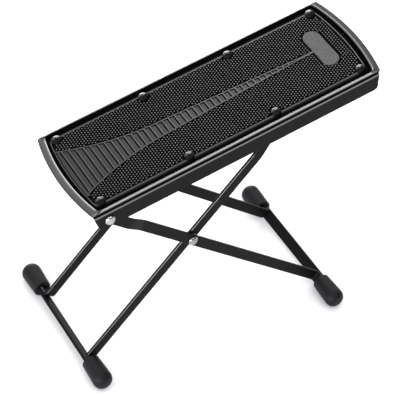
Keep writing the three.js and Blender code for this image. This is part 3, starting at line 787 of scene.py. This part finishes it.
def border():
    """The raised border: a low slope up from the mat's edge and a flat-topped line along its inside."""
    side = in_mm((0.1, -0.5), (0, -0.3), (0.1, -0.2), (0.7, -0.16), (1, -0.08), (3.1, 0.5), (3.2, 0.55),
                 (3.8, 0.55), (3.9, 0.45), (4, -0.3))
    end = in_mm((0.1, -0.5), (0, -0.3), (0.1, -0.2), (1.3, -0.16), (1.4, -0.05), (1.5, 0.45), (1.6, 0.55),
                (2.2, 0.55), (2.3, 0.45), (2.4, -0.3))
    bm = bmesh.new()
    rings = mat_rings(bm, side, end)
    strips(bm, rings + rings[:1])
    return finished(bm, deck_frame)


def rail(side):
    """One side rail of the ladder. The two meet in a tail line that ends at the badge."""
    half = RAIL_WIDTH / 2
    foot = (half + RAIL_ROUND / 3, SLOT_LEVEL - EDGE_ROUND)
    right_half = [(half - RAIL_ROUND, RUNG_LEVEL), (half, RUNG_LEVEL - RAIL_ROUND), foot]
    section = [(-across, height) for across, height in reversed(right_half)] + right_half
    bm = bmesh.new()
    rings = []
    for x in (*rail_stations, badge_low.x):
        middle = side * (window_half(x) + half)
        rings.append([bm.verts.new((x, middle + across, height)) for across, height in section])
    strips(bm, rings)
    bm.faces.new(rings[0])
    bm.faces.new(rings[-1])
    return finished(bm)


class Pattern(Graph):
    """A Geometry Nodes tree whose sizes are named inputs, made into a plain mesh."""

    def __init__(self, name, points=()):
        super().__init__(bpy.data.node_groups.new(name, "GeometryNodeTree"))
        for way in ("INPUT", "OUTPUT"):
            self.tree.interface.new_socket("Geometry", in_out=way, socket_type="NodeSocketGeometry")
        self.ends = self.tree.nodes.new("NodeGroupOutput")
        self.starts = self.tree.nodes.new("NodeGroupInput")
        self.values = {}
        self.seeds = bpy.data.meshes.new(name)
        self.seeds.from_pydata(list(points), [], [])

    def sizes(self, **named):
        """The pattern's sizes as named inputs, in their order."""
        for name, value in named.items():
            label = name.replace("_", " ").title()
            kind = "NodeSocketInt" if isinstance(value, int) else "NodeSocketFloat"
            socket = self.tree.interface.new_socket(label, in_out="INPUT", socket_type=kind)
            self.values[socket.identifier] = value
            yield Term(self, self.starts.outputs[label])

    step = partialmethod(Graph.node, family="GeometryNode")

    def vector(self, x, y, z):
        return self.node("CombineXYZ", inputs={0: x, 1: y, 2: z})

    def position(self):
        return self.step("InputPosition").part("X")

    def mesh(self, geometry, material, smooth=True):
        """The pattern's plain mesh, in the deck's frame."""
        realized = self.step("RealizeInstances", geometry=geometry)
        shaded = self.step("SetShadeSmooth", geometry=realized, shade_smooth=smooth)
        coated = self.step("SetMaterial", geometry=shaded, material=material)
        self.tree.links.new(coated.socket, self.ends.inputs[0])
        holder = in_scene("pattern", self.seeds)
        modifier = holder.modifiers.new("pattern", "NODES")
        modifier.node_group = self.tree
        for identifier, value in self.values.items():
            modifier[identifier] = value
        evaluated = holder.evaluated_get(bpy.context.evaluated_depsgraph_get())
        mesh = bpy.data.meshes.new_from_object(evaluated)
        bpy.data.objects.remove(holder)
        mesh.transform(deck_frame)
        return mesh


def across_ladder(name, first, count, width, level, slot=0.0, bow=0.0):
    """Bars across the ladder that follow its taper, each with a slot left open at its far end.

    With a bow their outer sides follow the bowed end of the mat.
    """
    graph = Pattern(name)
    pitch, start, wide, top, beyond, far_gap, bars, bend = graph.sizes(
        pitch=TREAD_PITCH, first_bar=first, bar_width=width, top_level=level,
        reach_past_window=INSIDE_RAIL, far_slot=slot, bars=count, bow=bow)
    height = top - (SLOT_LEVEL - EDGE_ROUND)
    x = graph.step("InputIndex") * pitch + start
    points = graph.step("Points", count=bars, position=graph.vector(x, 0.0, top - height / 2))
    line = graph.step("CurvePrimitiveLine", start=(0, -1, 0), end=(0, 1, 0))
    fine = graph.step("ResampleCurve", curve=line, count=BAR_STEPS)
    section = graph.step("CurvePrimitiveQuadrilateral", width=wide, height=height)
    soft = graph.step("FilletCurve", {"mode": "POLY"}, curve=section, count=3, radius=BAR_EDGE_ROUND)
    bar = graph.step("CurveToMesh", curve=fine, profile_curve=soft, fill_caps=True)
    row = graph.step("InstanceOnPoints", points=points, instance=bar)
    loose = graph.step("RealizeInstances", geometry=row)
    place = graph.position()
    reach = window_half(place) + beyond - far_gap / 2
    y = place.out("Y") * reach - far_gap / 2
    bowed = place + y * y * bend * (place < start)
    tapered = graph.step("SetPosition", geometry=loose, position=graph.vector(bowed, y, place.out("Z")))
    return graph.mesh(tapered, ladder_rubber)


piece("tread_mat_sheet", mat_skin(), mat_rubber, "deck", "mat_rubber", "tread_mat")
piece("tread_mat_border", border(), border_rubber, "deck", "mat_rubber")

rung_count = int((tread_end - TREAD_START) / TREAD_PITCH) - 1
pad_width = TREAD_PITCH - RUNG_WIDTH - SLOT_WIDTH
first_pad = TREAD_START + (RUNG_WIDTH + pad_width) / 2
apron_width = TREAD_START - RUNG_WIDTH / 2 - SLOT_WIDTH - field_start
apron_middle = field_start + apron_width / 2
rail_mesh = merged([rail(1), rail(-1)])
rail_mesh.transform(deck_frame)
ladder_mesh = merged([
    rail_mesh,
    across_ladder("ladder_rungs", TREAD_START, rung_count, RUNG_WIDTH, RUNG_LEVEL),
    across_ladder("ladder_pads", first_pad, rung_count, pad_width, PAD_LEVEL, slot=SLOT_WIDTH + INSIDE_RAIL),
    across_ladder("ladder_apron", apron_middle, 1, apron_width, PAD_LEVEL, bow=mat_bow),
])
piece("tread_mat_ladder", ladder_mesh, ladder_rubber, "deck", "mat_rubber")

rivet_nodes = [f"mat_rivet_{side}_{i}" for side in ("front", "rear") for i in range(1, 5)]
rivet_boxes = [extent(node, deck_frame) for node in rivet_nodes]
rivet_low, rivet_high = rivet_boxes[-1]
rivet_radius = (rivet_high.y - rivet_low.y) / 2
rivet_feet = [Vector(((low.x + high.x) / 2, (low.y + high.y) / 2, low.z)) for low, high in rivet_boxes]


def within(x, y, radius):
    return (x * x + y * y).math("SQRT") < radius


def studs():
    """Rows of pegs, every second one moved by half a pitch, left out where something else lies."""
    graph = Pattern("studs")
    row_pitch, pitch, top_radius, foot_radius, height, margin = graph.sizes(
        row_pitch=STUD_ROW_PITCH, stud_pitch=STUD_PITCH, top_radius=STUD_TOP_RADIUS,
        foot_radius=STUD_FOOT_RADIUS, stud_height=STUD_TOP - FIELD_LEVEL, margin=STUD_MARGIN)
    keep_off = margin + foot_radius
    field_half = mat_high.y - BORDER_FIELD[0]
    columns = 2 * int(field_half / STUD_PITCH) + 3
    rows = int((mat_high.x - mat_low.x) / STUD_ROW_PITCH) + 1
    index = graph.step("InputIndex")
    row = (index / columns).math("FLOOR")
    column = index - row * columns
    x = row * row_pitch + mat_low.x
    stagger = row.math("MODULO", 2) / 2 - 1 / 4
    y = (column - (columns - 1) / 2 + stagger) * pitch
    points = graph.step("Points", count=columns * rows, position=graph.vector(x, y, FIELD_LEVEL - STUD_ROOT))
    x = graph.position()
    y = abs(x.out("Y"))

    # The end borders bow outwards, so the field's ends follow a circle.
    drop = y * y * mat_bow
    outside = y > (field_half - keep_off)
    outside = outside.most(x < (drop + field_start + keep_off))
    outside = outside.most((x + drop + keep_off) > field_end)
    ladder = (y < (window_half(x) + RAIL_WIDTH + keep_off)).least(x < (badge_low.x + keep_off))
    outside = outside.most(ladder)
    past = (y - badge_straight).most(0)
    outside = outside.most(within(x - badge_middle, past, keep_off + badge_radius))
    for foot in rivet_feet:
        outside = outside.most(within(x - foot.x, y - abs(foot.y), keep_off + rivet_radius))
    field = graph.step("DeleteGeometry", {"domain": "POINT"}, geometry=points, selection=outside > 0.5)
    peg = graph.step("MeshCone", vertices=STUD_SIDES, radius_top=top_radius, radius_bottom=foot_radius,
                     depth=height)
    made = graph.step("InstanceOnPoints", points=field, instance=peg)
    return graph.mesh(made, stud_rubber, False)


piece("tread_mat_studs", studs(), stud_rubber, "deck", "mat_rubber")


# The badge is a thin grey capsule in a pocket of the mat at the high end, left bare.
# It is a moulding with a fine cast grain and a softened rim.
BADGE_ROUND = 0.35 * MM
BADGE_SINK = 0.9 * MM
BADGE_STEPS = 24
BADGE_COLOUR = (0.02, 0.02, 0.021, 1)
BADGE_PALE = (0.085, 0.085, 0.087, 1)
BADGE_GRAIN = 1700
BADGE_GRAIN_DEPTH = 0.06 * MM
BADGE_ROUGHNESS = 0.42
BADGE_GLOSS = 0.35


def capsule_ring(inset, height):
    radius = badge_radius - inset
    round_end = arc(badge_middle, badge_straight, radius, 0, 180, BADGE_STEPS)
    other_end = arc(badge_middle, -badge_straight, radius, 180, 360, BADGE_STEPS)
    return [(x, y, height) for x, y in round_end + other_end]


badge_section = [(0, badge_low.z - BADGE_SINK)]
badge_section += arc(BADGE_ROUND, badge_high.z - BADGE_SINK - BADGE_ROUND, BADGE_ROUND, 180, 90, 4)
badge_mesh = mesh_of(loft([capsule_ring(*pair) for pair in badge_section]), deck_frame)
badge_grey, graph, place = new_material("badge_grey")
grain = noise(place, BADGE_GRAIN, 4)
speckled = graph.blend(grain.between(0.35, 0.65), BADGE_COLOUR, BADGE_PALE)
surface(graph, graph.node("BsdfPrincipled", base_color=speckled, roughness=grain * 0.2 + BADGE_ROUGHNESS,
                          specular_ior_level=BADGE_GLOSS, normal=bump(grain, 0.35, BADGE_GRAIN_DEPTH)))
piece("badge_capsule", badge_mesh, badge_grey, "deck", "badge_grey", "badge_plate")


# Eight domed black rivets hold the mat down, four along each long side. Each head is sunk a little
# in the rubber, and each rivet passes through the tray and is headed over under it.
RIVET_HEAD_HEIGHT = 2.3 * MM
RIVET_HEAD_SKIRT = 1.3 * MM
RIVET_SINK = 0.8 * MM
RIVET_SHANK = 1.5 * MM
RIVET_TAIL_RADIUS = 2.5 * MM
RIVET_TAIL_HEIGHT = 0.9 * MM
RIVET_COLOUR = (0.002, 0.002, 0.003, 1)
RIVET_ROUGHNESS = 0.3
RIVET_GLOSS = 0.08
RIVET_GRAIN = 900
RIVET_POLISHED = (-0.3 * MM, 0.9 * MM)
LATHE_STEPS = 32


def lathe(profile, steps=LATHE_STEPS):
    """A turned body about the y axis from (radius, y) pairs that start and end on it, or form a loop."""
    count = len(profile)
    spans = count - 1 if profile[0][0] == 0 else count
    vertices = []
    faces = []
    for step in range(steps):
        turn = 2 * math.pi * step / steps
        vertices += [(radius * math.cos(turn), y, radius * math.sin(turn)) for radius, y in profile]
        here = step * count
        there = (step + 1) % steps * count
        for i in range(spans):
            after = (i + 1) % count
            faces.append((here + i, here + after, there + after, there + i))
    return vertices, faces


def dome(radius, height, seat, steps=8):
    """Half of a rounded head above its seat, as (radius, y) pairs that end on the axis."""
    flat = radius * 0.04
    pairs = [(radius * math.cos(a), seat + flat + (height - flat) * math.sin(a))
             for a in angles(0, 90, steps)[:-1]]
    return [(radius * 0.97, seat)] + pairs + [(0, seat + height)]


def rivet_profile(tail_radius, tail_height, tail_face, shank, seat, head, head_height, skirt=0):
    """A rivet from its tail to its domed head, whose skirt reaches below the seat into soft material."""
    low = tail_face - tail_height
    tail = [(0, low), (tail_radius * 0.8, low), (tail_radius, low + tail_height * 0.3)]
    collar = [(tail_radius, tail_face), (shank, tail_face), (shank, seat - skirt)]
    if skirt:
        collar.append((head * 0.97, seat - skirt))
    return tail + collar + dome(head, head_height, seat)


def rivet_gloss(place):
    """The heads are polished on their rear halves, and dull in front."""
    y = place.part("Y")
    row = rivet_feet[-1].y
    return (y - (y > 0) * (2 * row) + row).between(*RIVET_POLISHED)


black_rivet = powder_coat("black_rivet", RIVET_COLOUR, RIVET_ROUGHNESS, RIVET_GLOSS, RIVET_GRAIN, rivet_gloss)
rivet_seat = rivet_high.z - rivet_low.z - RIVET_HEAD_HEIGHT - RIVET_SINK
vertices, faces = lathe(rivet_profile(
    RIVET_TAIL_RADIUS, RIVET_TAIL_HEIGHT, RIVET_TAIL_HEIGHT, RIVET_SHANK, rivet_seat,
    rivet_radius, RIVET_HEAD_HEIGHT, RIVET_HEAD_SKIRT))
sample = in_scene("rivet_sample", mesh_of(([(x, z, y) for x, y, z in vertices], faces)))
graph = Pattern("mat_rivets", rivet_feet)
turned_rivet = graph.step("ObjectInfo", object=sample, output="Geometry")
spots = graph.step("MeshToPoints", mesh=Term(graph, graph.starts.outputs["Geometry"]))
set_rivets = graph.step("InstanceOnPoints", points=spots, instance=turned_rivet)
rivet_mesh = graph.mesh(set_rivets, black_rivet)
bpy.data.objects.remove(sample)
piece("mat_rivets", rivet_mesh, black_rivet, "deck", "black_rivet", *rivet_nodes)


# Each leg is a flat steel bar on edge, round at the top and bent outwards into its rubber cap. The top
# ends are joggled, so that frame A meets the flanges and frame B passes inside it. A flat crossbar is
# welded between the feet of each frame.
BAR_WIDTH = 9.5 * MM
BAR_THICK = 2.5 * MM
BAR_ROUND = 0.6 * MM
JOGGLE_START = 26 * MM
JOGGLE_RUN = 15 * MM
JOGGLE_BEND = 34 * MM
FOOT_BEND = 2.2 * MM
TAB_REACH = 21 * MM
SEAT_GAP = 0.3 * MM
TIP_STEPS = 10
# From the middle to the outer faces of the legs, at their tops and below the joggle.
FRAME_A_TOP = 46.2 * MM
FRAME_A_OUTER = 43.05 * MM
FRAME_B_TOP = 36.7 * MM
FRAME_B_OUTER = 39.2 * MM

scissor = Vector(joints["scissor_fold"]["pos_m"])
rod_low, rod_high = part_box("notch_rod")
rod_centre = (rod_low + rod_high) / 2


def leg_frame_at(top):
    """A frame with its origin at a leg's top pivot and its x axis down the leg."""
    along = Vector((scissor.x - top.x, 0, scissor.z - top.z)).normalized()
    across = Vector((0, 1, 0))
    matrix = Matrix((along, across, along.cross(across))).transposed().to_4x4()
    return Matrix.Translation(Vector((top.x, 0, top.z))) @ matrix


def bent_path(corners, radius, steps=8):
    """A polyline with each inner corner replaced by an arc."""
    points = [corners[0]]
    for before, corner, after in zip(corners, corners[1:], corners[2:]):
        back = (before - corner).normalized()
        on = (after - corner).normalized()
        half = back.angle(on) / 2
        middle = corner + (back + on).normalized() * (radius / math.sin(half))
        start = corner + back * (radius / math.tan(half)) - middle
        end = corner + on * (radius / math.tan(half)) - middle
        for step in range(steps + 1):
            share = step / steps
            points.append(middle + (start * (1 - share) + end * share).normalized() * radius)
    return points + [corners[-1]]


def bar_along(path, half_heights):
    """A flat bar on edge that follows a path in plan, with its long edges rounded."""
    rings = []
    for i, point in enumerate(path):
        ahead = path[min(i + 1, len(path) - 1)] - path[max(i - 1, 0)]
        normal = Vector((-ahead.y, ahead.x)).normalized()
        half = half_heights[i]
        rounding = min(BAR_ROUND, half * 0.9)
        ring = []
        for quarter, (a, z) in enumerate(((1, 1), (-1, 1), (-1, -1), (1, -1))):
            centre_a = a * (BAR_THICK / 2 - rounding)
            centre_z = z * (half - rounding)
            for across, height in arc(centre_a, centre_z, rounding, quarter * 90, quarter * 90 + 90, 3):
                ring.append((point.x + normal.x * across, point.y + normal.y * across, height))
        rings.append(ring)
    return loft(rings)


def leg(length, top_outer, outer, cap_inner):
    """One leg in its frame, from its round tip over the joggle to the tab inside the cap."""
    top_path, path = top_outer - BAR_THICK / 2, outer - BAR_THICK / 2
    tab = length - (BAR_THICK + SEAT_GAP) / 2
    half = BAR_WIDTH / 2
    # The round top end is made of stations that narrow along a half circle.
    turns = angles(4, 90, TIP_STEPS)
    tip = [Vector((-half * math.cos(turn), top_path)) for turn in turns]
    joggled = bent_path([tip[-1], Vector((JOGGLE_START, top_path)), Vector((JOGGLE_START + JOGGLE_RUN, path)),
                         Vector((tab, path))], JOGGLE_BEND)
    foot = bent_path([joggled[-2], Vector((tab, path)), Vector((tab, cap_inner + TAB_REACH))],
                     FOOT_BEND + BAR_THICK / 2)
    points = tip[:-1] + joggled[:-1] + foot[1:]
    heights = [half * math.sin(turn) for turn in turns[:-1]]
    return bar_along(points, heights + [half] * (len(points) - len(heights)))


leg_b_frame = leg_frame_at(rod_centre)


def edge_gloss(place):
    """The powder coat lies thick and glossy in a narrow line on the upper edges of legs B."""
    upright = -leg_b_frame.col[2].to_3d()
    height = height_above(place, leg_b_frame.translation, upright)
    edge = BAR_WIDTH / 2 - BAR_ROUND
    rise, fall = (height.between(edge + low, edge + high) for low, high in in_mm((0, 0.1), (0.45, 0.55)))
    return rise * (1 - fall)


leg_b_paint = powder_coat("leg_b_paint", PAINT_COLOUR, PAINT_ROUGHNESS, thick=edge_gloss)
frames = {
    "a": ("frame_a", leg_frame_at(deck_pivot), black_paint, FRAME_A_TOP, FRAME_A_OUTER),
    "b": ("frame_b", leg_b_frame, leg_b_paint, FRAME_B_TOP, FRAME_B_OUTER),
}
for key, (body, local, paint, top_outer, outer) in frames.items():
    for side, outward in SIDES:
        node = f"leg_{key}_{side}"
        low, high = extent(node, local)
        cap_inner = max(abs(low.y), abs(high.y)) - TAB_REACH
        vertices, faces = leg(high.x + SEAT_GAP / 2, top_outer, outer, cap_inner)
        mesh = mesh_of(([(x, y * outward, z) for x, y, z in vertices], faces), local)
        piece(f"{node}_bar", mesh, paint, body, "black_paint", node)
    node = f"crossbar_{key}"
    low, high = extent(node, local)
    across = (low.x + high.x) / 2
    shape = bar_along([Vector((across, low.y)), Vector((across, high.y))], [BAR_WIDTH / 2] * 2)
    piece(f"{node}_bar", mesh_of(shape, local), black_paint, body, "black_paint", node)


# The foot caps are moulded rubber barrels that are pushed over the bent feet and the crossbar.
# Each has a soft rim at its mouth, a round outer end and a flat where it stands on the floor.
CAP_INNER_RADIUS = 7.6 * MM
CAP_OUTER_RADIUS = 8.5 * MM
CAP_END_ROUND = 7.6 * MM
CAP_END_CUT = 1.5 * MM
CAP_AXIS = 7.8 * MM
CAP_RIM = 0.8 * MM
CAP_MOUTH_RADIUS = 5.68 * MM
CAP_MOUTH_DEPTH = 0.6 * MM
# The end is fuller than a circle: powers of a cosine and a sine below 1, up to an angle in degrees.
CAP_SIDE_POWER = 0.7
CAP_END_POWER = 0.9
CAP_END_TURN = 86
CAP_STEPS = 48
CAP_COLOUR = (0.0045, 0.0047, 0.006, 1)


def turned(profile, centre, outward=1, steps=LATHE_STEPS):
    """A body turned about a crosswise line, its profile's y measured outwards, cut flat at the floor."""
    vertices, faces = lathe(profile, steps)
    return mesh_of(([(centre.x + x, outward * y, max(centre.z + z, 0)) for x, y, z in vertices], faces))


cap_rubber = rubber("cap_rubber", CAP_COLOUR, 0.5, 0.15, cast=0.2)
for key, (body, *_) in frames.items():
    for side, outward in SIDES:
        node = f"foot_cap_{key}_{side}"
        low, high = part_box(node)
        axis = Vector(((low.x + high.x) / 2, 0, low.z + CAP_AXIS))
        length = high.y - low.y - CAP_END_CUT
        profile = [(0, CAP_MOUTH_DEPTH), (CAP_MOUTH_RADIUS, CAP_MOUTH_DEPTH)]
        profile += [(CAP_INNER_RADIUS - 2 * CAP_RIM, 0)]
        profile += arc(CAP_INNER_RADIUS - CAP_RIM, CAP_RIM, CAP_RIM, -90, 0, 4)
        for turn in angles(0, CAP_END_TURN, 10):
            reach = CAP_END_ROUND * (1 - math.sin(turn) ** CAP_END_POWER)
            profile.append((CAP_OUTER_RADIUS * math.cos(turn) ** CAP_SIDE_POWER, length - reach))
        profile.append((0, length))
        inner = low.y if outward > 0 else -high.y
        mesh = turned([(radius, inner + y) for radius, y in profile], axis, outward, CAP_STEPS)
        piece(f"{node}_barrel", mesh, cap_rubber, body, "cap_rubber", node)


# The pivots are plated steel rivets with domed heads outside and small headed tails inside. Two hold
# the deck's flanges on legs A, and two hold the frames together where their legs cross.
PIVOT_HEADS = {"deck_pivot_rivet": 2.4 * MM, "scissor_rivet": 2.1 * MM}
PIVOT_TAIL_RADIUS = 3.8 * MM
PIVOT_TAIL_HEIGHT = 1.4 * MM
PIVOT_SHANK = 2.5 * MM
STEEL_DARK = (0.24, 0.24, 0.24, 1)
STEEL_LIGHT = (0.4, 0.4, 0.395, 1)
STEEL_SCUFFS = 420
STEEL_STAINS = 140
STEEL_ROUGHNESS = 0.12
SCUFF_DEPTH = 0.1 * MM

bare_steel, graph, place = new_material("bare_steel")
scuff = noise(place, STEEL_SCUFFS, 5)
stain = noise(place, STEEL_STAINS, 3).between(0.35, 0.6)
plating = graph.blend(stain, STEEL_DARK, STEEL_LIGHT)
surface(graph, graph.node("BsdfPrincipled", base_color=plating, metallic=1,
                          roughness=scuff * 0.15 + STEEL_ROUGHNESS, normal=bump(scuff, 0.15, SCUFF_DEPTH)))

for name, head_height in PIVOT_HEADS.items():
    for side, outward in SIDES:
        node = f"{name}_{side}"
        low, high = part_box(node)
        near, far = sorted((abs(low.y), abs(high.y)))
        profile = rivet_profile(PIVOT_TAIL_RADIUS, PIVOT_TAIL_HEIGHT, near + PIVOT_TAIL_HEIGHT, PIVOT_SHANK,
                                far - head_height, (high.x - low.x) / 2, head_height)
        mesh = turned(profile, (low + high) / 2, outward)
        piece(f"{node}_head", mesh, bare_steel, "frame_a", "bare_steel", node)


# Plated washers keep the crossing legs apart. Each is a flat ring with a rounded rim on the shank of
# its scissor rivet.
WASHER_HOLE = 2.6 * MM
WASHER_ROUND = 0.18 * MM

for side, outward in SIDES:
    node = f"scissor_washer_{side}"
    low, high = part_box(node)
    near, far = sorted((abs(low.y), abs(high.y)))
    radius = (high.x - low.x) / 2
    flat = radius - WASHER_ROUND
    ring = [(WASHER_HOLE, near), (flat, near), (radius, near + WASHER_ROUND), (radius, far - WASHER_ROUND),
            (flat, far), (WASHER_HOLE, far)]
    mesh = turned(ring, (low + high) / 2, outward)
    piece(f"{node}_ring", mesh, bare_steel, "frame_a", "bare_steel", node)


# The cross rod is a plated steel bar between the tops of legs B, which lies in the notches of the
# racks. Its ends are shouldered, put through the legs and riveted over.
ROD_RADIUS = 3 * MM
ROD_NECK = 2.2 * MM
ROD_HEAD = 3.5 * MM
ROD_HEAD_HEIGHT = 1.2 * MM
ROD_BEVEL = 0.3 * MM

neck_end = rod_high.y - ROD_HEAD_HEIGHT
neck_start = neck_end - BAR_THICK - 2 * SEAT_GAP
half_rod = [(ROD_RADIUS, neck_start - ROD_BEVEL), (ROD_RADIUS - ROD_BEVEL, neck_start)]
half_rod += [(ROD_NECK, neck_start), (ROD_NECK, neck_end)] + dome(ROD_HEAD, ROD_HEAD_HEIGHT, neck_end)
mirrored = [(radius, -y) for radius, y in reversed(half_rod)]
rod_mesh = turned(mirrored + half_rod, rod_centre)
piece("notch_rod_turned", rod_mesh, bare_steel, "frame_b", "bare_steel", "notch_rod")
